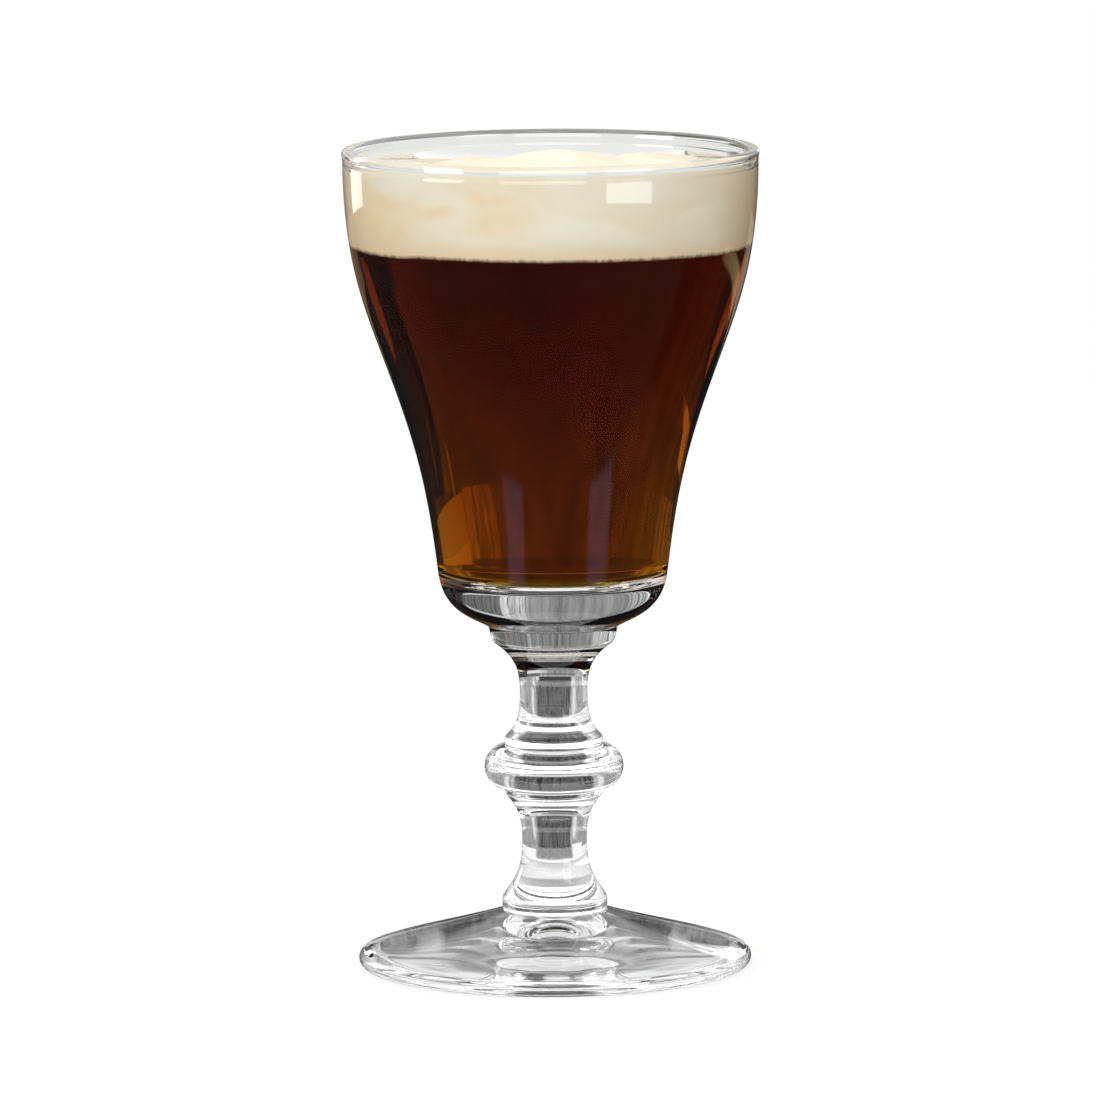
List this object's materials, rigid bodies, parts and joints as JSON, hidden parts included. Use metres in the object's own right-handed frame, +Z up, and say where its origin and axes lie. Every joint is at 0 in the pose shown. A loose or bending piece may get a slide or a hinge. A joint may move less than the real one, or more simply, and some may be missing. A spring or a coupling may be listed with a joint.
{
  "type": "irish coffee glass",
  "caption": "Footed tulip glass on a short knopped stem, filled with coffee under a thick layer of cream.",
  "frame": {"origin": "centre of the flat ring under the foot, on the surface that the glass stands on", "axes": "+Z up along the glass's axis, -Y towards the picture's camera"},
  "size_m": [0.072, 0.072, 0.1425],
  "materials": {
    "clear_glass": "clear, colourless, fire-polished soda-lime glass",
    "coffee": "clear dark brown liquid, red-brown where it is thin",
    "cream": "soft ivory cream, lightly mottled, satin"
  },
  "bodies": {
    "root": {"foot": "clear_glass", "stem": "clear_glass", "bowl": "clear_glass", "coffee": "coffee", "cream": "cream"}
  },
  "joints": []
}
